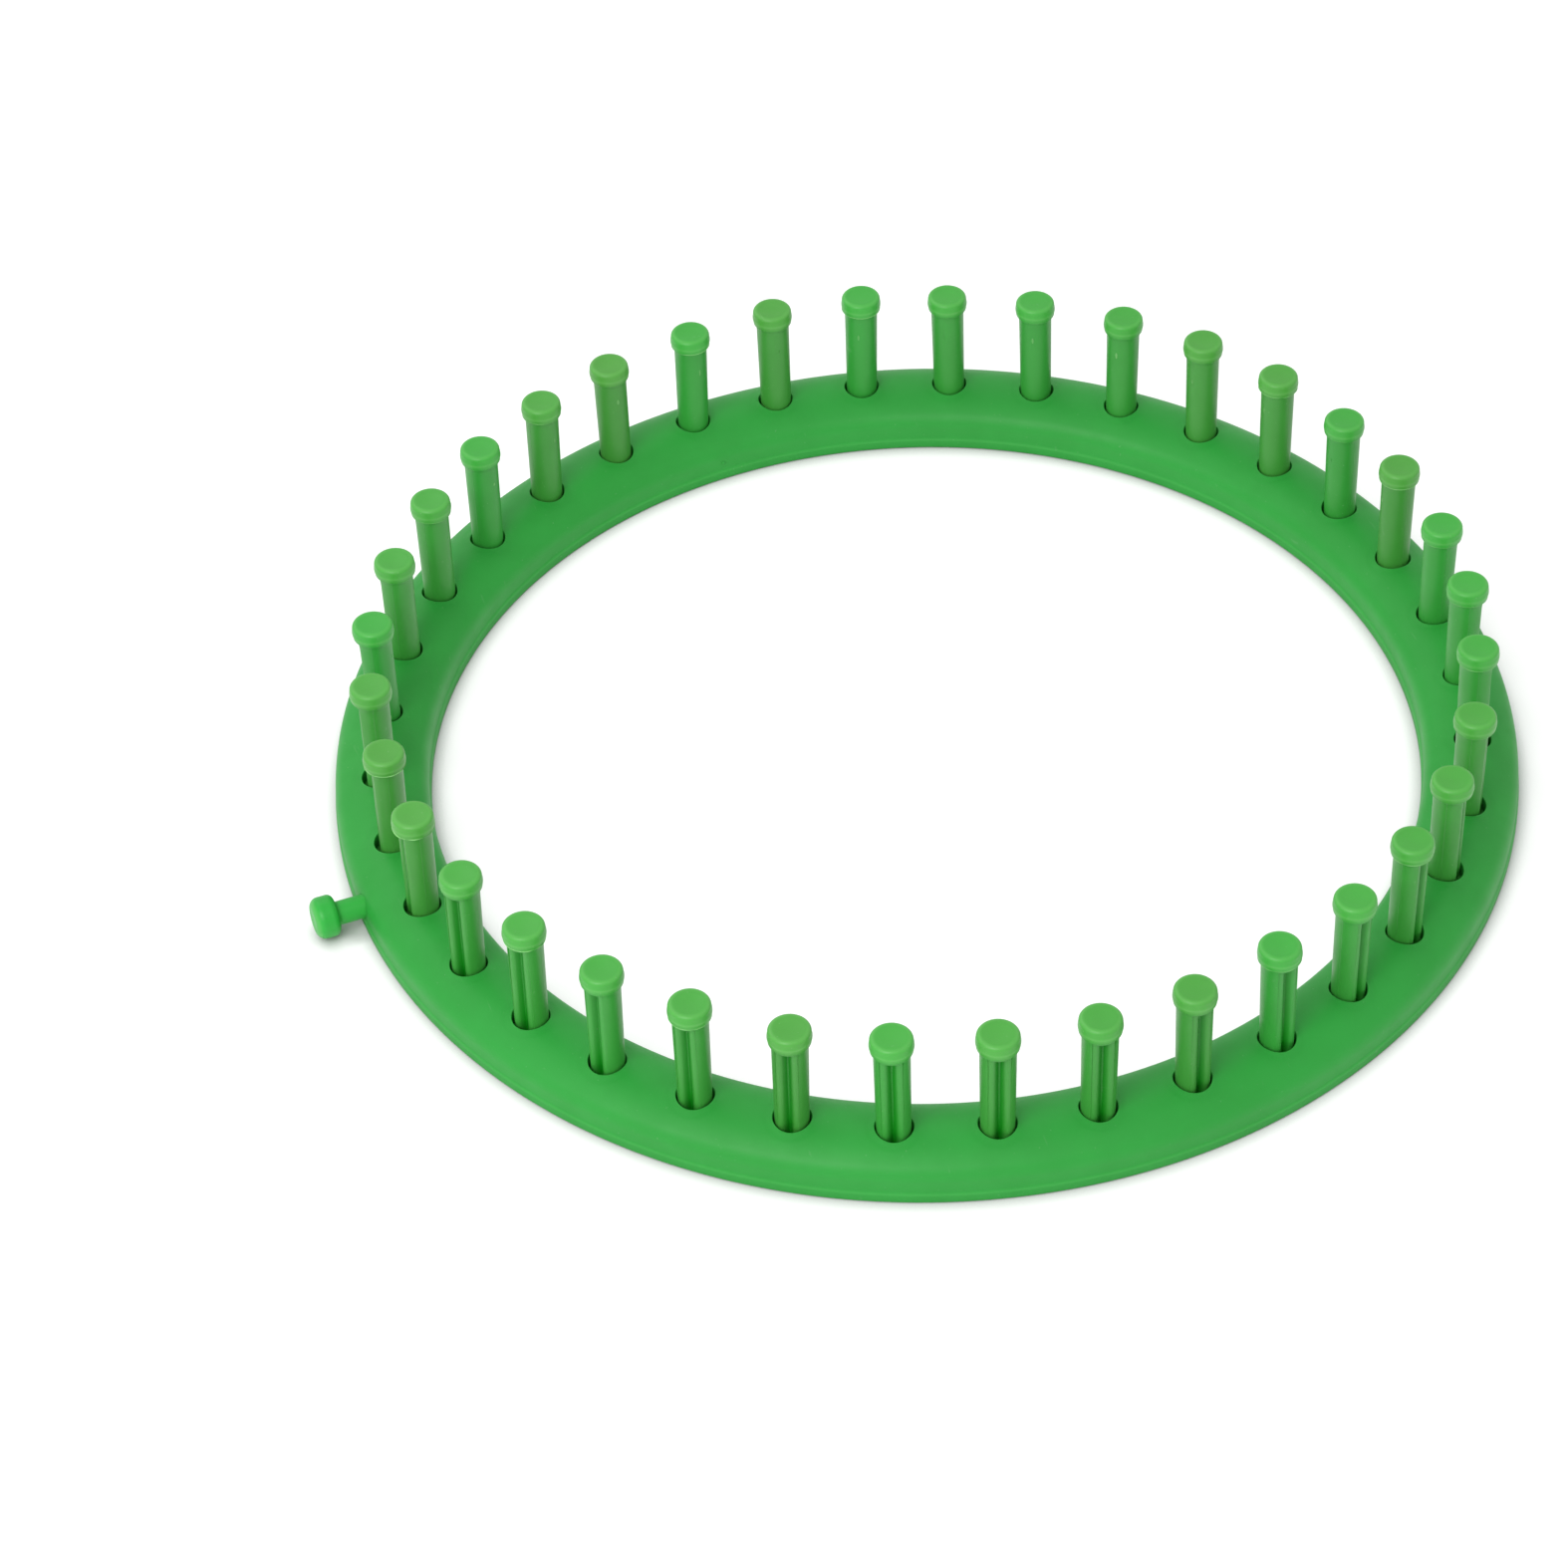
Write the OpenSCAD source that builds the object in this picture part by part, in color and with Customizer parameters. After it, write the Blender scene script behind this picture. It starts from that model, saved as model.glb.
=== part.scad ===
// Round plastic knitting loom: a hollow moulded ring that carries an even circle of
// grooved knitting pegs on its crown and one anchor peg on its side.
// Origin: centre of the ring, on the surface that it rests on.
// +Z is up, along the pegs. The anchor peg points towards -X.

/* [Ring] */
// Outside diameter of the ring over its foot band
ring_od = 290; // [280:1:300]
// Width of the ring from its outer foot to its inner foot
ring_w = 23.5; // [23:0.5:25]
// Height of the crown above the base
ring_h = 12.7; // [12.5:0.1:13.5]
// Height at which the side walls start to curve into the crown
spring_z = 5.8; // [5.6:0.1:6]
// Radius of the two shoulders beside the crown
shoulder_r = 4.9; // [4.7:0.1:5]
// Wall thickness of the moulding
wall_t = 2; // [1.8:0.1:2.2]
// Height of the straight foot band at both edges
foot_h = 2.4; // [2:0.1:2.8]
// How far the foot band stands out of the wall above it
foot_lip = 0.35; // [0.2:0.05:0.5]

/* [Sockets] */
// Radius of each peg's tenon bore
bore_r = 3.3; // [3.2:0.05:3.4]
// Radius of the counterbore that clears a peg's shaft
counterbore_r = 4.45; // [4.45:0.05:4.7]
// Height of the counterbore's floor, on which the peg's shoulder rests
seat_z = 8.6; // [8.2:0.1:9]
// Outside radius of the boss round each bore
boss_r = 6.2; // [6:0.1:6.4]
// Thickness of the web that ties each boss to both walls
web_t = 1.6; // [1.2:0.1:2]

/* [Pegs] */
// Number of knitting pegs, which the list of nodes follows
peg_count = 36; // [24:1:40]
// Height of the peg's flat top above the base
peg_top_z = 42.1; // [38:0.1:46]
// Shaft radius at the shoulder
shaft_foot_r = 3.96; // [3.9:0.02:4.04]
// Shaft radius just under the head
shaft_neck_r = 4.2; // [4.14:0.02:4.24]
// Radius of the head's side
head_r = 4.98; // [4.96:0.01:5.02]
// Radius that rounds the head's upper edge
head_round = 1; // [0.8:0.1:1.2]
// Depth below the top of the bead round the head's widest place
bead_depth = 2.4; // [2.2:0.1:2.6]
// Radius of the collar below the bead
collar_r = 4.92; // [4.88:0.01:4.96]
// Depth below the top at which the collar ends
collar_depth = 3.8; // [3.6:0.1:4]
// Radius of the shaft right under the collar
under_r = 4.42; // [4.36:0.01:4.48]
// Depth below the top at which the head has run out into the shaft
flare_depth = 5.6; // [5.2:0.1:6]
// Width of the yarn groove's round bottom, down the outward side
groove_w = 0.8; // [0.6:0.1:1]
// Depth of the yarn groove
groove_d = 2; // [1.8:0.1:2.2]
// Angle in degrees between each side of the groove and its middle plane
groove_angle = 40; // [36:1:44]
// Depth below the top at which the groove starts
groove_start = 4.7; // [4.4:0.1:5]

/* [Anchor peg] */
// Height of the anchor peg's axis
anchor_z = 5.4; // [5.3:0.1:5.8]
// Radius of the anchor peg's shaft
anchor_shaft_r = 2.9; // [2.7:0.1:3]
// Radius of the anchor peg's tenon
anchor_tenon_r = 2.3; // [2.2:0.05:2.35]
// Radius of the anchor peg's knob
knob_r = 5.1; // [4.9:0.05:5.2]
// Length of the anchor peg's knob
knob_len = 5.8; // [5.2:0.1:6.4]
// Distance from the ring's centre to the anchor peg's end face
anchor_reach = 156.9; // [155:0.1:160]

/* [Hidden] */
peg_pitch = 360 / peg_count;
$fn = 72;

ring_green = [0.13, 0.45, 0.14];
peg_green = [0.19, 0.48, 0.15];

ring_r = ring_od / 2 - ring_w / 2;
foot_half = ring_w / 2;
wall_half = foot_half - foot_lip;
rise = ring_h - spring_z;
foot_chamfer = 0.3;
past = 1;
boss_bottom_z = 0.8;
web_bottom_z = 3;
mouth_chamfer = 0.25;
mouth_drop = 0.8;

fit_gap = 0.05;
tenon_r = bore_r - fit_gap;
tenon_bottom_z = 1.7;
tenon_chamfer = 0.6;

bead_r = 0.9;
bead_proud = 0.15;
under_drop = 0.3;
bead_centre_r = head_r + bead_proud - bead_r;
dish_r = 3.5;
dish_depth = 0.22;
dish_sphere_r = (dish_r * dish_r + dish_depth * dish_depth) / (2 * dish_depth);
groove_r = groove_w / 2;
groove_floor = 0.7;
groove_floor_z = seat_z + groove_floor;

anchor_recess = 1.4;
anchor_seat = ring_od / 2 - foot_lip - anchor_recess;
anchor_tenon_len = 9.2;
anchor_tenon_end = anchor_seat - anchor_tenon_len;
anchor_boss_r = 4.6;
anchor_boss_floor = 1.2;
anchor_boss_end = anchor_tenon_end - anchor_boss_floor;
knob_end_round = 2.2;
knob_back_round = 1.6;

function peg_name(i) = str("peg_", i < 10 ? "0" : "", i);

// Angle of peg i, counted anticlockwise from above, starting beside the anchor peg
function peg_angle(i) = 180 + peg_pitch * (i - 0.5);

// Radius of a crown arc that meets both shoulder arcs without a crease
function crown_r(half, rise, corner) =
    (pow(half - corner, 2) + rise * rise - corner * corner) / (2 * (rise - corner));

// Half-round section with straight sides: two shoulder arcs and one crown arc
module dome(half, bottom, rise, corner) {
    crown = crown_r(half, rise, corner);
    crown_z = spring_z + rise - crown;
    side = half - corner;
    far_z = spring_z + rise + past;
    far_x = side * (far_z - crown_z) / (spring_z - crown_z);
    translate([-half, bottom])
        square([2 * half, spring_z - bottom]);
    for (s = [-1, 1])
        translate([s * side, spring_z])
            circle(corner);
    intersection() {
        translate([0, crown_z])
            circle(crown);
        polygon([[-side, spring_z], [side, spring_z], [far_x, far_z], [-far_x, far_z]]);
    }
}

// Straight band along the ring's two lower edges, a little proud of the walls
module foot_section() {
    inset = foot_half - foot_chamfer;
    lip_z = foot_h + foot_lip;
    polygon([
        [-inset, 0], [inset, 0], [foot_half, foot_chamfer], [foot_half, foot_h],
        [wall_half, lip_z], [-wall_half, lip_z], [-foot_half, foot_h], [-foot_half, foot_chamfer]
    ]);
}

module at_peg(i) {
    rotate(peg_angle(i))
        translate([ring_r, 0, 0])
            children();
}

// Turns a shape that stands on +Z to lie outwards along the anchor peg's axis
module at_anchor() {
    translate([0, 0, anchor_z])
        rotate([0, -90, 0])
            children();
}

// Hollow underside of the ring, interrupted by a boss and a web at each peg
module underside() {
    difference() {
        rotate_extrude($fn = 360)
            translate([ring_r, 0])
                dome(wall_half - wall_t, -past, rise - wall_t, shoulder_r - wall_t);
        for (i = [1:peg_count])
            at_peg(i) {
                translate([0, 0, boss_bottom_z])
                    cylinder(h = ring_h, r = boss_r);
                translate([-foot_half, -web_t / 2, web_bottom_z])
                    cube([2 * foot_half, web_t, ring_h]);
            }
        at_anchor()
            translate([0, 0, anchor_boss_end])
                cylinder(h = ring_od / 2 - anchor_boss_end, r = anchor_boss_r);
    }
}

// Bore, counterbore and eased mouth of one socket
module socket() {
    translate([0, 0, -past])
        cylinder(h = seat_z + 2 * past, r = bore_r);
    translate([0, 0, seat_z])
        cylinder(h = ring_h, r = counterbore_r);
    translate([0, 0, ring_h - mouth_drop])
        cylinder(h = mouth_drop + past, r1 = counterbore_r,
                 r2 = counterbore_r + mouth_chamfer * (mouth_drop + past) / mouth_drop);
}

module anchor_socket() {
    at_anchor() {
        translate([0, 0, anchor_boss_end - past])
            cylinder(h = ring_od / 2 - anchor_boss_end, r = anchor_tenon_r + fit_gap);
        translate([0, 0, anchor_seat])
            cylinder(h = ring_w / 2, r = anchor_shaft_r + fit_gap);
    }
}

module ring() {
    color(ring_green)
    difference() {
        rotate_extrude($fn = 360)
            translate([ring_r, 0]) {
                dome(wall_half, foot_chamfer, rise, shoulder_r);
                foot_section();
            }
        underside();
        for (i = [1:peg_count])
            at_peg(i)
                socket();
        anchor_socket();
    }
}

// Profile of a peg from its shoulder to its flat top: shaft, flare, collar, bead and rounded head
module headed_profile() {
    bead_z = peg_top_z - bead_depth;
    collar_z = peg_top_z - collar_depth;
    polygon([
        [0, seat_z], [shaft_foot_r, seat_z], [shaft_neck_r, peg_top_z - flare_depth],
        [under_r, collar_z - under_drop], [collar_r, collar_z], [collar_r, bead_z], [0, bead_z]
    ]);
    translate([bead_centre_r, bead_z])
        circle(bead_r, $fn = 32);
    translate([0, bead_z])
        square([head_r, bead_depth - head_round]);
    translate([0, bead_z])
        square([head_r - head_round, bead_depth]);
    translate([head_r - head_round, peg_top_z - head_round])
        circle(head_round, $fn = 32);
}

// Headed round peg standing on +Z, with a slightly dished top
module headed_peg() {
    difference() {
        rotate_extrude()
            headed_profile();
        translate([0, 0, peg_top_z - dish_depth + dish_sphere_r])
            sphere(dish_sphere_r, $fn = 180);
    }
}

// Plan of the yarn groove: a V whose two flat sides leave a round bottom smoothly
module groove_plan() {
    bottom_x = shaft_foot_r - groove_d + groove_r;
    side_x = bottom_x - groove_r * sin(groove_angle);
    side_y = groove_r * cos(groove_angle);
    far_y = side_y + (head_r - side_x) * tan(groove_angle);
    translate([bottom_x, 0])
        circle(groove_r, $fn = 32);
    polygon([[side_x, -side_y], [head_r, -far_y], [head_r, far_y], [side_x, side_y]]);
}

module peg(i) {
    color(peg_green)
    at_peg(i)
        difference() {
            union() {
                headed_peg();
                translate([0, 0, tenon_bottom_z + tenon_chamfer])
                    cylinder(h = seat_z - tenon_bottom_z, r = tenon_r);
                translate([0, 0, tenon_bottom_z])
                    cylinder(h = tenon_chamfer, r1 = tenon_r - tenon_chamfer, r2 = tenon_r);
            }
            translate([0, 0, groove_floor_z])
                linear_extrude(peg_top_z - groove_start - groove_floor_z)
                    groove_plan();
        }
}

// Profile of the anchor peg's rounded knob, which ends at the given height
module knob_profile(top) {
    square([anchor_shaft_r, top - knob_end_round]);
    translate([0, top - knob_len])
        square([knob_r - knob_back_round, knob_len - knob_end_round]);
    translate([0, top - knob_len + knob_back_round])
        square([knob_r, knob_len - knob_back_round - knob_end_round]);
    translate([0, top - knob_end_round])
        square([knob_r - knob_end_round, knob_end_round]);
    translate([knob_r - knob_back_round, top - knob_len + knob_back_round])
        circle(knob_back_round, $fn = 32);
    translate([knob_r - knob_end_round, top - knob_end_round])
        circle(knob_end_round, $fn = 32);
}

module anchor_peg() {
    color(peg_green)
    at_anchor() {
        translate([0, 0, anchor_seat])
            rotate_extrude()
                knob_profile(anchor_reach - anchor_seat);
        translate([0, 0, anchor_tenon_end])
            cylinder(h = anchor_seat - anchor_tenon_end + past, r = anchor_tenon_r);
    }
}

ring();
for (i = [1:peg_count])
    peg(i);
anchor_peg();
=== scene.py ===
import math
import random

import bmesh
import bpy
from mathutils import Matrix, Vector


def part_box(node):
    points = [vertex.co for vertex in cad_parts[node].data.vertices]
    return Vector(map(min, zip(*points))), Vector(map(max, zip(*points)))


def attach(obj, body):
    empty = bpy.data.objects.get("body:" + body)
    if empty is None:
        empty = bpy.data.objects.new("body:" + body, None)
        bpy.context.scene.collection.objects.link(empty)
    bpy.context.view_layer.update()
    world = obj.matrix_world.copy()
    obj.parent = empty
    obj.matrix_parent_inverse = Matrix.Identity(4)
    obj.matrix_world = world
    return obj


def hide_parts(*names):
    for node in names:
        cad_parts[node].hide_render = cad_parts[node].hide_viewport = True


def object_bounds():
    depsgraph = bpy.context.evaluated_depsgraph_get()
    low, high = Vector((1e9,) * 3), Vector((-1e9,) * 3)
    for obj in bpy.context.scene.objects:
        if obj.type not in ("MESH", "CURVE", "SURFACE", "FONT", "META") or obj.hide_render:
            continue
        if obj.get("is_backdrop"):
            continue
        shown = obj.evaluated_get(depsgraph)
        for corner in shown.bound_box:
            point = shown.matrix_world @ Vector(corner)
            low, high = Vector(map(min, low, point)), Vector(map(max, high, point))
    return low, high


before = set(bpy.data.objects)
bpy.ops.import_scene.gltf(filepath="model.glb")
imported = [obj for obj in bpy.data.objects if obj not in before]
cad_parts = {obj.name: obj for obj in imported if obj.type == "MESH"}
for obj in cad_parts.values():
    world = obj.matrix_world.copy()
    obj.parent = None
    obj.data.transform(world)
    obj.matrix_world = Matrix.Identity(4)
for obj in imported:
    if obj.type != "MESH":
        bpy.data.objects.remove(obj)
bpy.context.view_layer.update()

# Sizes are in millimetres, in the row frame. The floor, the lights and the camera are in metres.
MM = 0.001


def box_mm(node):
    low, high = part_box(node)
    return Vector(low) / MM, Vector(high) / MM


# ---------------------------------------------------------------- sizes from the frame

PEG_NODES = sorted(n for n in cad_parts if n.startswith("peg_"))
_, RING_HIGH = box_mm("ring")
PEG_LOW, PEG_HIGH = box_mm(PEG_NODES[0])
ANCHOR_LOW, ANCHOR_HIGH = box_mm("anchor_peg")

RING_R = RING_HIGH.x
RING_W = 23.5
RING_H = RING_HIGH.z
CENTRE_R = RING_R - RING_W / 2
SPRING_Z = 5.8
SHOULDER_R = 4.9
WALL_T = 2.0
FOOT_H = 2.4
FOOT_LIP = 0.35
FOOT_HALF = RING_W / 2
WALL_HALF = FOOT_HALF - FOOT_LIP
RISE = RING_H - SPRING_Z

FIT_GAP = 0.05
SEAT_Z = 8.6
BORE_R = 3.3
TENON_R = BORE_R - FIT_GAP
COUNTERBORE_R = 4.45
BOSS_R = 6.2
BOSS_BOTTOM = 0.8
WEB_T = 1.6
WEB_BOTTOM = 3

PEG_TOP = PEG_HIGH.z
TENON_BOTTOM = PEG_LOW.z
FOOT_R = 3.96
NECK_R = 4.2
HEAD_R = 4.98
HEAD_ROUND = 1.0
BEAD_DEPTH = 2.4
COLLAR_R = 4.92
FLASH_DEPTH = 3.8
DISH_R = 3.5
DISH_DEPTH = 0.22
GROOVE_D = 2.0
GROOVE_ANGLE = 40
GROOVE_BOTTOM_R = 0.4
GROOVE_LIP_R = 1.2
GROOVE_START = 4.7
GROOVE_FLOOR = SEAT_Z + 0.7

ANCHOR_Z = round((ANCHOR_LOW.z + ANCHOR_HIGH.z) / 2, 1)
ANCHOR_REACH = -ANCHOR_LOW.x
ANCHOR_TENON_END = -ANCHOR_HIGH.x
ANCHOR_TENON_LEN = 9.2
ANCHOR_SEAT = ANCHOR_TENON_END + ANCHOR_TENON_LEN
ANCHOR_SHAFT_R = 2.9
ANCHOR_TENON_R = 2.3
ANCHOR_BOSS_R = 4.6
ANCHOR_BOSS_FLOOR = 1.2
KNOB_R = 5.1
KNOB_LEN = 5.8
KNOB_END_ROUND = 2.2
KNOB_BACK_ROUND = 1.6
KNOB_DISH_R = 2.5
KNOB_DISH_DEPTH = 0.1

# How far a cutting shape runs past the surface that it cuts
PAST = 1

# Steps round a circle, and the angle in degrees past which an edge between two faces stays sharp
RING_STEPS = 720
PEG_STEPS = 128
LIP_STEPS = 96
BORE_STEPS = 64
CREASE = 32


# ---------------------------------------------------------------- mesh helpers

def arc(x, z, r, start, end, steps):
    """Points on a circle's arc, from one angle in degrees to another."""
    turns = [math.radians(start + (end - start) * i / steps) for i in range(steps + 1)]
    return [(x + r * math.cos(t), z + r * math.sin(t)) for t in turns]


def rod(r, low, high):
    """Profile of a plain cylinder."""
    return [(0, low), (r, low), (r, high), (0, high)]


def add_object(name, bm):
    """Makes an object from a bmesh, which is used up."""
    bmesh.ops.recalc_face_normals(bm, faces=bm.faces)
    mesh = bpy.data.meshes.new(name)
    bm.to_mesh(mesh)
    bm.free()
    obj = bpy.data.objects.new(name, mesh)
    bpy.context.scene.collection.objects.link(obj)
    return obj


def revolve(bm, profile, steps, place=Matrix(), closed=False):
    """Turns (radius, height) points about +Z. A point at no radius becomes one vertex."""
    rows = []
    for r, z in profile:
        if r < 1e-6:
            rows.append([bm.verts.new(place @ Vector((0, 0, z)))])
            continue
        row = []
        for i in range(steps):
            t = 2 * math.pi * i / steps
            row.append(bm.verts.new(place @ Vector((r * math.cos(t), r * math.sin(t), z))))
        rows.append(row)
    pairs = list(zip(rows, rows[1:]))
    if closed:
        pairs.append((rows[-1], rows[0]))
    for low, high in pairs:
        for i in range(steps):
            j = (i + 1) % steps
            if len(low) == 1 and len(high) == 1:
                continue
            if len(low) == 1:
                bm.faces.new((low[0], high[j], high[i]))
            elif len(high) == 1:
                bm.faces.new((low[i], low[j], high[0]))
            else:
                bm.faces.new((low[i], low[j], high[j], high[i]))


def extrude(bm, outline, low, high, place=Matrix()):
    """A prism from a closed outline of (x, y) points."""
    bottom = [bm.verts.new(place @ Vector((x, y, low))) for x, y in outline]
    top = [bm.verts.new(place @ Vector((x, y, high))) for x, y in outline]
    bm.faces.new(list(reversed(bottom)))
    bm.faces.new(top)
    for i, v in enumerate(bottom):
        j = (i + 1) % len(bottom)
        bm.faces.new((v, bottom[j], top[j], top[i]))


def cut(obj, tool):
    """Cuts tool out of obj and deletes tool."""
    mod = obj.modifiers.new("cut", "BOOLEAN")
    mod.operation = "DIFFERENCE"
    mod.solver = "MANIFOLD"
    mod.object = tool
    made = bpy.data.meshes.new_from_object(obj.evaluated_get(bpy.context.evaluated_depsgraph_get()))
    obj.modifiers.clear()
    obj.data = made
    bpy.data.objects.remove(tool)


def finish_mesh(obj):
    """From millimetres to metres, and smooth except along its creases."""
    obj.data.transform(Matrix.Scale(MM, 4))
    obj.data.shade_smooth()
    obj.data.set_sharp_from_angle(angle=math.radians(CREASE))


def spin(degrees):
    return Matrix.Rotation(math.radians(degrees), 4, "Z")


def at_peg(node):
    """Where a peg stands: its axis, with local +X turned outwards."""
    low, high = box_mm(node)
    middle = (low + high) / 2
    angle = round(math.degrees(math.atan2(middle.y, middle.x)), 1)
    return spin(angle) @ Matrix.Translation((CENTRE_R, 0, 0))


AT_ANCHOR = Matrix.Translation((0, 0, ANCHOR_Z)) @ Matrix.Rotation(math.radians(-90), 4, "Y")


# ---------------------------------------------------------------- ring

def dome_arcs(half, rise, corner, fine):
    """The half-round top of a section, from its right side to its left."""
    side = half - corner
    crown = (side * side + rise * rise - corner * corner) / (2 * (rise - corner))
    crown_z = SPRING_Z + rise - crown
    meet = math.degrees(math.atan2(SPRING_Z - crown_z, side))
    right = arc(side, SPRING_Z, corner, 0, meet, fine)
    top = arc(0, crown_z, crown, meet, 180 - meet, 3 * fine)
    left = arc(-side, SPRING_Z, corner, 180 - meet, 180, fine)
    return right + top[1:-1] + left


def ring_outline(fine):
    """Outside of the section. The foot band runs out into the wall above it in a soft step."""
    edge, step_drop, step_rise, steps = 0.3, 0.2, 1.1, 8
    right = arc(FOOT_HALF - edge, edge, edge, -90, 0, 4)
    for i in range(steps + 1):
        inwards = FOOT_LIP * (1 - math.cos(math.pi * i / steps)) / 2
        right.append((FOOT_HALF - inwards, FOOT_H - step_drop + step_rise * i / steps))
    left = [(-x, z) for x, z in reversed(right)]
    outline = right + dome_arcs(WALL_HALF, RISE, SHOULDER_R, fine) + left
    return [(CENTRE_R + x, z) for x, z in outline]


def channel_outline(fine):
    """Section of the hollow underside, one wall thickness inside the outline."""
    half = WALL_HALF - WALL_T
    dome = dome_arcs(half, RISE - WALL_T, SHOULDER_R - WALL_T, fine)
    return [(CENTRE_R + x, z) for x, z in [(half, -PAST)] + dome + [(-half, -PAST)]]


def crown_drop(x):
    """How far the crown is below its highest line, at a distance x across the ring."""
    side = WALL_HALF - SHOULDER_R
    crown = (side * side + RISE * RISE - SHOULDER_R * SHOULDER_R) / (2 * (RISE - SHOULDER_R))
    return crown - math.sqrt(crown * crown - x * x)


def cut_socket(bm, place):
    """Counterbore whose rounded lip follows the curve of the crown."""
    ease, flare, far_z = 0.3, 0.4, RING_H + 2
    lip = arc(COUNTERBORE_R + ease, RING_H - ease, ease, 180, 96, 6)
    above = [(COUNTERBORE_R + ease + flare, RING_H + flare), (COUNTERBORE_R, far_z), (0, far_z)]
    fresh = bmesh.new()
    revolve(fresh, [(0, SEAT_Z), (COUNTERBORE_R, SEAT_Z)] + lip + above, LIP_STEPS)
    middle_z = (SEAT_Z + RING_H) / 2
    for v in fresh.verts:
        if v.co.z > middle_z:
            v.co.z -= crown_drop(v.co.x)
    fresh.transform(place)
    spare = bpy.data.meshes.new("spare")
    fresh.to_mesh(spare)
    fresh.free()
    bm.from_mesh(spare)
    bpy.data.meshes.remove(spare)


def make_hollow(outline, bosses, webs):
    """The open channel under the ring, less what stands in it."""
    bm = bmesh.new()
    revolve(bm, outline, RING_STEPS, closed=True)
    hollow = add_object("hollow", bm)
    cut(hollow, add_object("bosses", bosses))
    cut(hollow, add_object("webs", webs))
    bm = bmesh.new()
    revolve(bm, rod(ANCHOR_BOSS_R, ANCHOR_TENON_END - ANCHOR_BOSS_FLOOR, RING_R), BORE_STEPS, AT_ANCHOR)
    cut(hollow, add_object("anchor_boss", bm))
    return hollow


def cut_anchor_hole(bm):
    """Bore and counterbore for the anchor peg, through the ring's outer wall."""
    clear = 3
    narrow = ANCHOR_TENON_R + FIT_GAP
    wide = ANCHOR_SHAFT_R + FIT_GAP
    low, high = ANCHOR_TENON_END - clear, RING_R + clear
    hole = [(0, low), (narrow, low), (narrow, ANCHOR_SEAT), (wide, ANCHOR_SEAT), (wide, high), (0, high)]
    revolve(bm, hole, LIP_STEPS, AT_ANCHOR)


def make_ring():
    bm = bmesh.new()
    revolve(bm, ring_outline(12), RING_STEPS, closed=True)
    ring = add_object("ring_moulding", bm)

    ease = 0.3
    boss = [(0, BOSS_BOTTOM), (BOSS_R - ease, BOSS_BOTTOM), (BOSS_R, BOSS_BOTTOM + ease)]
    boss += [(BOSS_R, RING_H), (0, RING_H)]
    corners = ((-1, -1), (1, -1), (1, 1), (-1, 1))
    web = [(x * FOOT_HALF, y * WEB_T / 2) for x, y in corners]
    bosses, webs, sockets, bores = bmesh.new(), bmesh.new(), bmesh.new(), bmesh.new()
    for node in PEG_NODES:
        place = at_peg(node)
        revolve(bosses, boss, BORE_STEPS, place)
        extrude(webs, web, WEB_BOTTOM, RING_H, place)
        cut_socket(sockets, place)
        revolve(bores, rod(BORE_R, -PAST, SEAT_Z + PAST), BORE_STEPS, place)
    anchor_hole = bmesh.new()
    cut_anchor_hole(anchor_hole)

    cut(ring, make_hollow(channel_outline(8), bosses, webs))
    cut(ring, add_object("sockets", sockets))
    cut(ring, add_object("bores", bores))
    cut(ring, add_object("anchor_hole", anchor_hole))
    finish_mesh(ring)
    return ring


# ---------------------------------------------------------------- pegs

def dished(r, top, depth):
    """Points from the edge of a shallow dish in to its middle, a little above a parabola on the way."""
    steps, less = 8, 0.15
    points = []
    for i in range(steps + 1):
        out = 1 - i / steps
        points.append((r * out, top - depth * (1 - out ** 2) * (1 - less * out)))
    return points


def head_profile():
    """From the flare up: lip of the collar, soft bead, side, rounded edge and dished top."""
    flare = [(NECK_R + 0.01, 6.2), (4.25, 5.6), (4.3, 5.1), (4.36, 4.7), (4.42, 4.35), (4.5, 4.13)]
    lip = [(4.62, 4.0), (4.78, 3.93), (COLLAR_R - 0.03, 3.87)]
    lip += [(COLLAR_R + 0.02, FLASH_DEPTH), (COLLAR_R + 0.02, 3.7)]
    bead = [(4.97, 3.45), (5.03, 3.15), (5.09, 2.88), (5.12, 2.65), (5.13, 2.4)]
    side = [(5.12, 2.15), (5.08, 1.85), (5.04, 1.55), (5.0, 1.25)]
    corner = arc(HEAD_R - HEAD_ROUND, -HEAD_ROUND, HEAD_ROUND, 0, 90, 14)
    lower = [(r, PEG_TOP - depth_below_top) for r, depth_below_top in flare + lip + bead + side]
    return lower + [(r, PEG_TOP + z) for r, z in corner] + dished(DISH_R, PEG_TOP, DISH_DEPTH)


def knob_profile():
    """Radius and distance from the ring's centre: fillet, rounded back, rounded end and dish."""
    top, back = ANCHOR_REACH, ANCHOR_REACH - KNOB_LEN
    shaft_r = ANCHOR_SHAFT_R
    root = [(shaft_r, back - 0.3), (shaft_r + 0.08, back - 0.08), (shaft_r + 0.3, back)]
    inner = arc(KNOB_R - KNOB_BACK_ROUND, back + KNOB_BACK_ROUND, KNOB_BACK_ROUND, -90, 0, 14)
    outer = arc(KNOB_R - KNOB_END_ROUND, top - KNOB_END_ROUND, KNOB_END_ROUND, 0, 84, 18)
    return root + inner + outer + dished(KNOB_DISH_R, top, KNOB_DISH_DEPTH)


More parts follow.
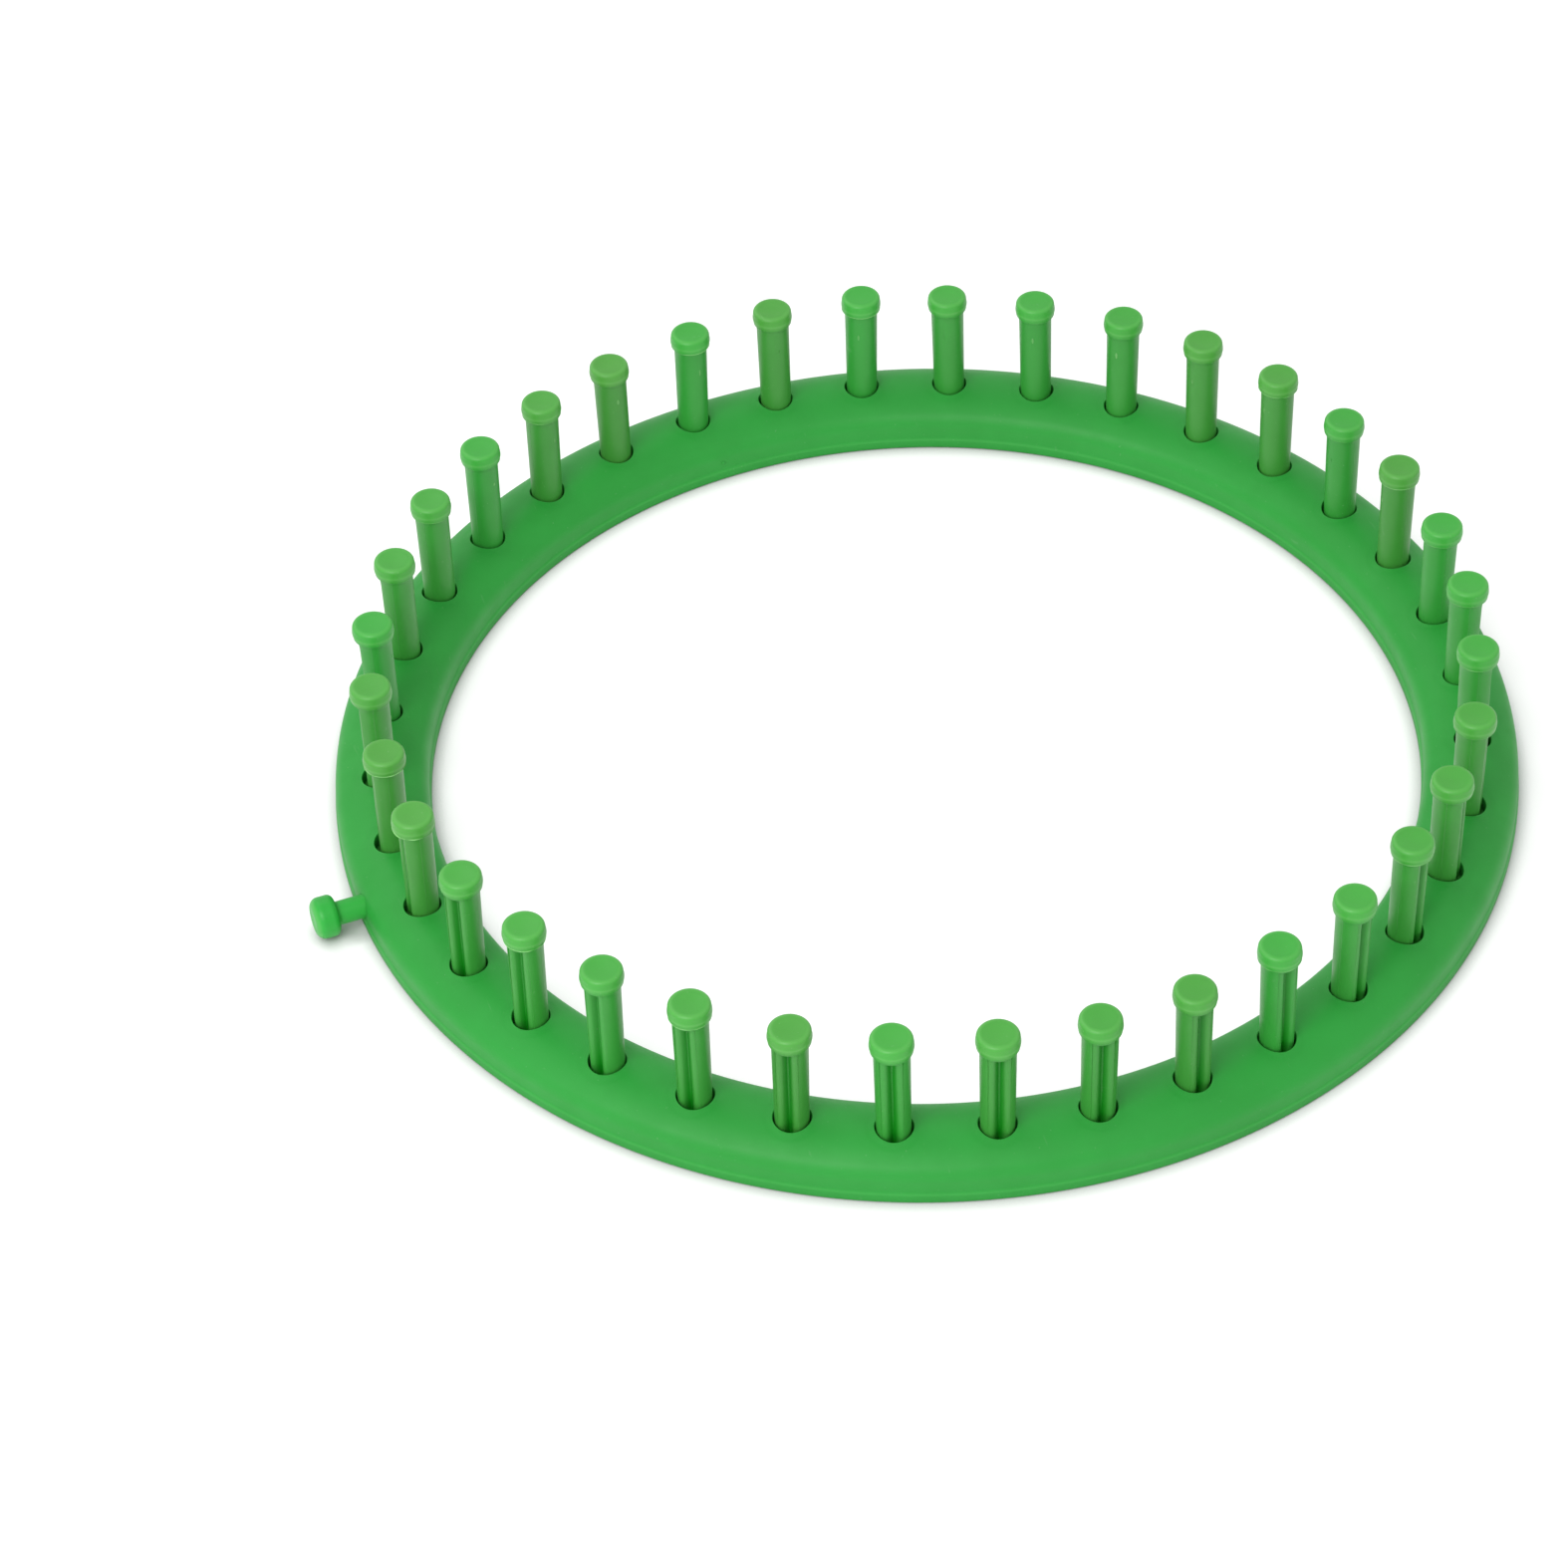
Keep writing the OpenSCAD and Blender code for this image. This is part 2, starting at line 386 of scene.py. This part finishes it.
def turned_peg(foot, foot_r, tenon_r, tenon_end, head):
    """Tenon, shoulder and straight shaft up to the first point of the head's profile."""
    neck_r, high_z = head[0]
    shaft_steps = 12
    low_z = foot + 0.2
    shaft = []
    for i in range(shaft_steps):
        t = i / shaft_steps
        shaft.append((foot_r + (neck_r - foot_r) * t, low_z + (high_z - low_z) * t))
    tenon = [(0, tenon_end), (tenon_r - 0.5, tenon_end), (tenon_r, tenon_end + 0.6), (tenon_r, foot)]
    bm = bmesh.new()
    revolve(bm, tenon + [(foot_r - 0.2, foot)] + shaft + head, PEG_STEPS)
    return bm


def groove_outline():
    """Plan of the yarn groove: a V with a round bottom that opens through two soft ridges."""
    bottom_r, lip_r = GROOVE_BOTTOM_R, GROOVE_LIP_R
    bottom = Vector((FOOT_R - GROOVE_D + bottom_r, 0))
    slope = math.radians(GROOVE_ANGLE)
    along = Vector((math.cos(slope), math.sin(slope)))
    start = bottom + (bottom_r + lip_r) * Vector((-along.y, along.x))
    reach = start.dot(along)
    lip = start + along * (math.sqrt(reach ** 2 - start.length_squared + (FOOT_R - lip_r) ** 2) - reach)
    turn = math.degrees(math.atan2(lip.y, lip.x))
    upper = arc(lip.x, lip.y, lip_r, GROOVE_ANGLE - 90, turn - 3, 14)
    upper.append((upper[-1][0] + 2, upper[-1][1] + 1.6))
    mirrored = [(x, -y) for x, y in upper]
    return arc(bottom.x, 0, bottom_r, 90 + GROOVE_ANGLE, 270 - GROOVE_ANGLE, 10) + mirrored + upper[::-1]


def make_peg_master():
    """One knitting peg on +Z, with its groove towards +X."""
    bm = turned_peg(SEAT_Z, FOOT_R, TENON_R, TENON_BOTTOM, head_profile())
    peg = add_object("peg_master", bm)
    bm = bmesh.new()
    extrude(bm, groove_outline(), GROOVE_FLOOR, PEG_TOP - GROOVE_START)
    cut(peg, add_object("groove", bm))
    return peg


def nib(bm, place, size):
    """A low smooth pip, such as a gate leaves: size is its half width, half height and rise."""
    bmesh.ops.create_uvsphere(bm, u_segments=20, v_segments=12, radius=1,
                              matrix=place @ Matrix.Diagonal((size[2], size[0], size[1], 1)))


def remember_local(mesh):
    """Keeps each point's place on the part itself, in millimetres, for the material to read."""
    layer = mesh.attributes.new("part_mm", "FLOAT_VECTOR", "POINT")
    for v, item in zip(mesh.vertices, layer.data):
        item.vector = v.co


def give_number(mesh, name, value, start=0):
    """The same value on every point from number start on, and 0 before it."""
    layer = mesh.attributes.new(name, "FLOAT", "POINT")
    layer.data.foreach_set("value", [value if i >= start else 0.0 for i in range(len(mesh.vertices))])


def raise_flash(mesh, rng, amount):
    """Pushes the thin line of flash under the head out by up to amount, unevenly about the peg."""
    first, second = rng.uniform(0, 2 * math.pi), rng.uniform(0, 2 * math.pi)
    for v in mesh.vertices:
        radius = math.hypot(v.co.x, v.co.y)
        if abs(v.co.z - (PEG_TOP - FLASH_DEPTH)) < 0.01 and radius > COLLAR_R:
            t = math.atan2(v.co.y, v.co.x)
            wave = 0.5 + 0.3 * math.sin(2 * t + first) + 0.2 * math.sin(7 * t + second)
            v.co.xy *= 1 + amount * wave / radius


def stand_freely(mesh, rng, turned):
    """Small differences between moulded pegs. The tenon and the seat stay where they are."""
    lean_x, lean_y = (math.tan(math.radians(rng.uniform(-0.8, 0.8))) for _ in range(2))
    sink = rng.uniform(-0.45, 0)
    slip_x, slip_y = rng.uniform(-0.14, 0.14), rng.uniform(-0.14, 0.14)
    twist = Matrix.Rotation(math.radians(turned + rng.uniform(-5, 5)), 3, "Z")
    for v in mesh.vertices:
        if v.co.z > SEAT_Z - 0.01:
            over = v.co.z - SEAT_Z
            v.co = twist @ v.co
            slip = min(1, over / 2)
            shift = Vector((lean_x * over + slip_x * slip, lean_y * over + slip_y * slip))
            v.co += Vector((*shift, sink * over / (PEG_TOP - SEAT_Z)))


rng = random.Random(36)

# Pegs that stand turned a little on their tenons, in degrees, and pegs with much flash
TURNED = {"peg_01": -8, "peg_02": 20, "peg_03": 20}
HEAVY_FLASH = {"peg_01": 1.0, "peg_03": 0.9, "peg_36": 0.8}

ring = make_ring()
bm = bmesh.new()
bm.from_mesh(ring.data)
on_inner_wall = spin(93.5) @ Matrix.Translation((CENTRE_R - WALL_HALF, 0, 5.2))
nib(bm, Matrix.Scale(MM, 4) @ on_inner_wall, (0.55, 0.4, 0.3))
bm.to_mesh(ring.data)
bm.free()
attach(ring, "ring")
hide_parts("ring")

master = make_peg_master()
pegs = []
for node in PEG_NODES:
    bm = bmesh.new()
    bm.from_mesh(master.data)
    side = math.radians(180 + rng.uniform(-14, 8))
    high = PEG_TOP - rng.uniform(9.6, 11.4)
    mark = Matrix.Rotation(side, 4, "Z") @ Matrix.Translation((NECK_R - 0.02, 0, high))
    nib(bm, mark, (rng.uniform(0.22, 0.36), rng.uniform(0.45, 1.0), rng.uniform(0.06, 0.12)))
    peg = add_object(f"knitting_{node}", bm)
    remember_local(peg.data)
    give_number(peg.data, "tone", rng.uniform(0, 1))
    # gate and flash also set how strongly the material paints a highlight on the gate nib and along the
    # flash line
    give_number(peg.data, "gate", max(0, rng.uniform(-0.3, 0.55)), len(master.data.vertices))
    flash = HEAVY_FLASH.get(node, max(0, rng.uniform(-0.7, 0.6)))
    give_number(peg.data, "flash", flash)
    raise_flash(peg.data, rng, 0.22 * flash)
    stand_freely(peg.data, rng, TURNED.get(node, 0))
    peg.data.transform(at_peg(node))
    finish_mesh(peg)
    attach(peg, node)
    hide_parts(node)
    pegs.append(peg)
bpy.data.objects.remove(master)

bm = turned_peg(ANCHOR_SEAT, ANCHOR_SHAFT_R, ANCHOR_TENON_R, ANCHOR_TENON_END, knob_profile())
anchor = add_object("side_anchor_peg", bm)
remember_local(anchor.data)
anchor.data.transform(AT_ANCHOR)
finish_mesh(anchor)
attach(anchor, "anchor_peg")
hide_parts("anchor_peg")


# ---------------------------------------------------------------- materials

RING_GREEN = (0.0185, 0.302, 0.036)
RING_PALE = (0.10, 0.48, 0.11)
PEG_GREEN = (0.042, 0.385, 0.048)
PEG_WARM = (0.077, 0.33, 0.046)
PEG_PALE = (0.28, 0.66, 0.22)
KNOB_GREEN = (0.02, 0.37, 0.04)
DUST = (0.42, 0.56, 0.4)

# These three multiply a base colour. CLOUD is random tone, SHAFT_SHADE is painted shade on the shaft
# under the head, and GROOVE_SHADE is painted shade in the peg's groove
CLOUD = (0.92, 0.93, 0.9)
SHAFT_SHADE = (0.66, 0.8, 0.8)
GROOVE_SHADE = (0.08, 0.76, 0.16)


class Shader:
    """A material's node tree, with a short call for each kind of node."""

    def __init__(self, name):
        self.material = bpy.data.materials.new(name)
        self.material.use_nodes = True
        self.tree = self.material.node_tree
        self.bsdf = self.tree.nodes["Principled BSDF"]

    def put(self, socket, value):
        """Links value to socket, or sets it there."""
        if isinstance(value, bpy.types.NodeSocket):
            self.tree.links.new(value, socket)
        elif isinstance(value, tuple) and len(value) == 3 and socket.type == "RGBA":
            socket.default_value = (*value, 1)
        else:
            socket.default_value = value

    def node(self, kind, inputs, output=0, **settings):
        """Adds a node and returns one of its outputs."""
        made = self.tree.nodes.new(kind)
        for key, value in settings.items():
            setattr(made, key, value)
        for key, value in inputs.items():
            self.put(made.inputs[key], value)
        return made.outputs[output]

    def math(self, operation, a, b=0.0):
        return self.node("ShaderNodeMath", {0: a, 1: b}, operation=operation)

    def split(self, vector):
        """The x, y and z of a vector."""
        return self.node("ShaderNodeSeparateXYZ", {"Vector": vector}).node.outputs[:3]

    def length(self, a, b):
        squares = self.math("ADD", self.math("MULTIPLY", a, a), self.math("MULTIPLY", b, b))
        return self.math("SQRT", squares)

    def attribute(self, name, output):
        return self.node("ShaderNodeAttribute", {}, output, attribute_name=name)

    def noise(self, where, size_mm, detail=2.0, stretch=None):
        """Cloudy noise from 0 to 1 whose patches are about size_mm across."""
        if stretch:
            where = self.node("ShaderNodeMapping", {"Vector": where, "Scale": stretch})
        inputs = {"Vector": where, "Scale": 1 / (size_mm * MM), "Detail": detail}
        return self.node("ShaderNodeTexNoise", inputs)

    def smooth(self, value, low, high):
        """0 below low, 1 above high, and smooth between. It falls instead where low is above high."""
        inputs = {"Value": value, "From Min": low, "From Max": high}
        return self.node("ShaderNodeMapRange", inputs, interpolation_type="SMOOTHSTEP")

    def near(self, value, middle, width):
        """1 where value is at middle, falling to 0 at width from it."""
        return self.smooth(self.math("ABSOLUTE", self.math("SUBTRACT", value, middle)), width, 0)

    def blend(self, factor, a, b, mode="MIX"):
        inputs = {"Factor": factor, 6: a, 7: b}
        return self.node("ShaderNodeMix", inputs, 2, data_type="RGBA", blend_type=mode)

    def bump(self, height, depth_mm, normal=None):
        inputs = {"Height": height, "Distance": depth_mm * MM, "Strength": 1.0}
        if normal:
            inputs["Normal"] = normal
        return self.node("ShaderNodeBump", inputs)


def moulded_plastic(shader, where, base, pale, rough, edge, relief, translucency, specular):
    """Slightly cloudy satin plastic, with fine grain, dust and faint scuffs. It is paler along its
    edges: painted highlights, and on the ring a little wear too.
    """
    broad = shader.noise(where, 38, 2.5)
    patches = shader.noise(where, 7, 3.0)
    grain = shader.noise(where, 0.45, 2.0)
    specks = shader.smooth(shader.noise(where, 0.7, 1.0), 0.76, 0.8)
    scuffs = shader.smooth(shader.noise(where, 1.6, 3.0, (1, 0.08, 0.5)), 0.7, 0.78)

    cloud = shader.math("MULTIPLY", broad, 0.65)
    cloud = shader.math("ADD", cloud, shader.math("MULTIPLY", patches, 0.35))
    color = shader.blend(shader.smooth(cloud, 0.36, 0.64), base, CLOUD, "MULTIPLY")
    color = shader.blend(edge, color, pale)
    specks = shader.math("MULTIPLY", specks, 0.14)
    scuffs = shader.math("MULTIPLY", scuffs, 0.06)
    marks = shader.math("MAXIMUM", specks, scuffs)
    color = shader.blend(marks, color, DUST)
    shader.put(shader.bsdf.inputs["Base Color"], color)

    varied = shader.math("MULTIPLY_ADD", patches, 0.16)
    varied.node.inputs[2].default_value = rough - 0.08
    varied = shader.math("SUBTRACT", varied, shader.math("MULTIPLY", edge, 0.07))
    varied = shader.math("ADD", varied, shader.math("MULTIPLY", marks, 0.3))
    shader.put(shader.bsdf.inputs["Roughness"], varied)

    normal = shader.bump(broad, 0.5)
    normal = shader.bump(patches, 0.05, normal)
    normal = shader.bump(relief, 0.05, normal)
    normal = shader.bump(grain, 0.006, normal)
    shader.put(shader.bsdf.inputs["Normal"], normal)
    shader.bsdf.inputs["IOR"].default_value = 1.46
    shader.bsdf.inputs["Specular IOR Level"].default_value = specular
    shader.bsdf.inputs["Subsurface Weight"].default_value = translucency
    shader.bsdf.inputs["Subsurface Radius"].default_value = (0.5, 1, 0.4)
    shader.bsdf.inputs["Subsurface Scale"].default_value = 0.0015


def ring_material():
    """Paler along the foot's edge and round each hole, as a painted highlight with a little wear, and
    with a slight sink mark over each boss.
    """
    shader = Shader("ring_moulded_plastic")
    where = shader.node("ShaderNodeTexCoord", {}, "Object")
    x, y, z = shader.split(where)
    z = shader.math("DIVIDE", z, MM)
    across = shader.math("SUBTRACT", shader.math("DIVIDE", shader.length(x, y), MM), CENTRE_R)
    pitch = 2 * math.pi / len(PEG_NODES)
    fold = shader.math("FLOORED_MODULO", shader.math("ARCTAN2", y, x), pitch)
    along = shader.math("MULTIPLY", shader.math("SUBTRACT", fold, pitch / 2), CENTRE_R)
    socket = shader.length(across, along)

    # Painted highlight with a little wear: paler along the foot's edge and round each hole's mouth
    outside = shader.smooth(shader.math("ABSOLUTE", across), WALL_HALF - 0.2, WALL_HALF + 0.2)
    foot_edge = shader.math("MULTIPLY", shader.near(z, FOOT_H + 0.1, 0.55), outside)
    on_crown = shader.smooth(z, SPRING_Z, RING_H - 2)
    mouth = shader.math("MULTIPLY", shader.near(socket, COUNTERBORE_R + 0.2, 0.35), on_crown)
    edge = shader.math("MULTIPLY", shader.math("MAXIMUM", foot_edge, mouth), 0.15)
    sink = shader.math("MULTIPLY", shader.near(socket, BOSS_R - 0.4, 1.3), on_crown)
    relief = shader.math("MULTIPLY", sink, -1)
    moulded_plastic(shader, where, RING_GREEN, RING_PALE, 0.52, edge, relief, 0.08, 0.38)
    return shader.material


def peg_material():
    """Painted shade darkens the shaft below the head and the groove; painted highlights make the head's
    top edge, the bead, the flash line and the gate mark paler.
    """
    shader = Shader("peg_moulded_plastic")
    where = shader.node("ShaderNodeTexCoord", {}, "Object")
    x, y, z = shader.split(shader.attribute("part_mm", "Vector"))
    depth = shader.math("SUBTRACT", PEG_TOP, z)
    radius = shader.length(x, y)
    # Painted highlights: a paler band round the head's rounded top edge and along the bead, where light
    # catches them
    rim_highlight = shader.math("MULTIPLY", shader.near(depth, 0.2, 0.8), shader.near(radius, HEAD_R - 0.6, 0.9))
    bead = shader.near(depth, BEAD_DEPTH, 0.6)
    edge = shader.math("MULTIPLY", shader.math("MAXIMUM", rim_highlight, bead), 0.12)
    patchy = shader.smooth(shader.noise(where, 3.5, 1.0), 0.3, 0.55)
    # Painted highlight: a patchy pale line along the flash fin under the head, on pegs with flash
    flash = shader.near(depth, FLASH_DEPTH, 0.34)
    flash = shader.math("MULTIPLY", flash, shader.attribute("flash", "Fac"))
    edge = shader.math("MAXIMUM", edge, shader.math("MULTIPLY", flash, patchy))
    # Painted highlight: the gate nib is paler, as a glint where light catches it
    edge = shader.math("MAXIMUM", edge, shader.attribute("gate", "Fac"))
    seam = shader.near(x, 0.0, 0.1)
    # Painted shade: below the head's bead the shaft is darkened as if shadowed by the head
    shaded_shaft = shader.smooth(depth, BEAD_DEPTH + 0.5, FLASH_DEPTH + 0.4)
    # Painted shade: darker deeper into the groove, where less light reaches
    painted_groove_shade = shader.smooth(radius, FOOT_R - 0.1, FOOT_R - GROOVE_D + 0.1)
    painted_groove_shade = shader.math("MULTIPLY", painted_groove_shade, shaded_shaft)
    base = shader.blend(shader.attribute("tone", "Fac"), PEG_GREEN, PEG_WARM)
    base = shader.blend(shaded_shaft, base, SHAFT_SHADE, "MULTIPLY")
    base = shader.blend(painted_groove_shade, base, GROOVE_SHADE, "MULTIPLY")
    relief = shader.math("MULTIPLY", seam, shaded_shaft)
    moulded_plastic(shader, where, base, PEG_PALE, 0.4, edge, relief, 0.16, 0.4)
    return shader.material


def knob_material():
    """Paler at the end, with a parting line along its length."""
    shader = Shader("anchor_moulded_plastic")
    where = shader.node("ShaderNodeTexCoord", {}, "Object")
    x, _, z = shader.split(shader.attribute("part_mm", "Vector"))
    parting = shader.near(x, 0.0, 0.12)
    end = shader.near(shader.math("SUBTRACT", ANCHOR_REACH, z), 0.4, 0.9)
    edge = shader.math("MULTIPLY", end, 0.15)
    moulded_plastic(shader, where, KNOB_GREEN, PEG_PALE, 0.44, edge, parting, 0.16, 0.4)
    return shader.material


def paint(obj, material):
    """The booleans leave an empty slot behind, so the list starts again."""
    obj.data.materials.clear()
    obj.data.materials.append(material)
    for face in obj.data.polygons:
        face.material_index = 0


paint(ring, ring_material())
peg_plastic = peg_material()
for peg in pegs:
    paint(peg, peg_plastic)
paint(anchor, knob_material())


def glowing_paper_floor():
    """White paper that glows a little as painted light, but not close to the object, so the missing glow
    paints a darker contact shadow there on top of the real one.
    """
    shader = Shader("floor_paper")
    where = shader.node("ShaderNodeTexCoord", {}, "Object")
    tint = shader.blend(shader.noise(where, 60, 2.0), (0.53, 0.53, 0.53), (0.55, 0.55, 0.55))
    shader.put(shader.bsdf.inputs["Base Color"], tint)
    # Painted light: the floor glows except where nearby parts hide it, which paints a darker contact
    # shadow
    openness = shader.node("ShaderNodeAmbientOcclusion", {"Distance": 6 * MM}, "AO", samples=8)
    glow = shader.math("MULTIPLY", shader.smooth(openness, 0.35, 0.95), 0.55)
    shader.bsdf.inputs["Emission Color"].default_value = (1, 1, 1, 1)
    shader.put(shader.bsdf.inputs["Emission Strength"], glow)
    shader.bsdf.inputs["Roughness"].default_value = 0.8
    shader.bsdf.inputs["Specular IOR Level"].default_value = 0.2
    return shader.material


# ---------------------------------------------------------------- floor, light and camera

bm = bmesh.new()
bmesh.ops.create_grid(bm, x_segments=2, y_segments=2, size=4)
floor = add_object("floor", bm)
floor.location.z = -0.0002
paint(floor, glowing_paper_floor())
floor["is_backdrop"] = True

world = bpy.data.worlds.new("studio")
world.use_nodes = True
background = world.node_tree.nodes["Background"]
background.inputs["Color"].default_value = (1, 1, 1, 1)
background.inputs["Strength"].default_value = 0.78
bpy.context.scene.world = world
bpy.context.scene.view_settings.view_transform = "Standard"

PHOTO_AZIMUTH = -19.17


def soft_light(name, azimuth, elevation, distance, size, watts):
    """A square area light that faces the origin. Azimuth 0 is on the camera's side."""
    a, e = math.radians(azimuth + PHOTO_AZIMUTH), math.radians(elevation)
    away = Vector((math.sin(a) * math.cos(e), -math.cos(a) * math.cos(e), math.sin(e)))
    data = bpy.data.lights.new(name, "AREA")
    data.size = size
    data.energy = watts
    lamp = bpy.data.objects.new(name, data)
    lamp.location = away * distance
    lamp.rotation_euler = away.to_track_quat("Z", "Y").to_euler()
    bpy.context.scene.collection.objects.link(lamp)


soft_light("key", -32, 46, 1.6, 0.9, 14.6)
soft_light("fill", -140, 46, 1.6, 0.9, 3.2)

CAMERA_ELEVATION = math.radians(43.383)
CAMERA_DISTANCE = 1.1799
CAMERA_ROLL = math.radians(-2.543)
AIM = Vector((-0.03488, -0.00588, 0))
back = Vector((0, -math.cos(CAMERA_ELEVATION), math.sin(CAMERA_ELEVATION)))
level_right = Vector((1, 0, 0))
level_up = back.cross(level_right)
right = math.cos(CAMERA_ROLL) * level_right + math.sin(CAMERA_ROLL) * level_up
up = back.cross(right)
pose = Matrix((right, up, back)).transposed().to_4x4()
pose.translation = AIM + back * CAMERA_DISTANCE
camera_data = bpy.data.cameras.new("photo_view")
camera_data.lens = 110.3
camera_data.sensor_width = 36
camera_data.clip_end = 20
camera = bpy.data.objects.new("photo_view", camera_data)
bpy.context.scene.collection.objects.link(camera)
camera.matrix_world = spin(PHOTO_AZIMUTH) @ pose
bpy.context.scene.camera = camera

low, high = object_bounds()
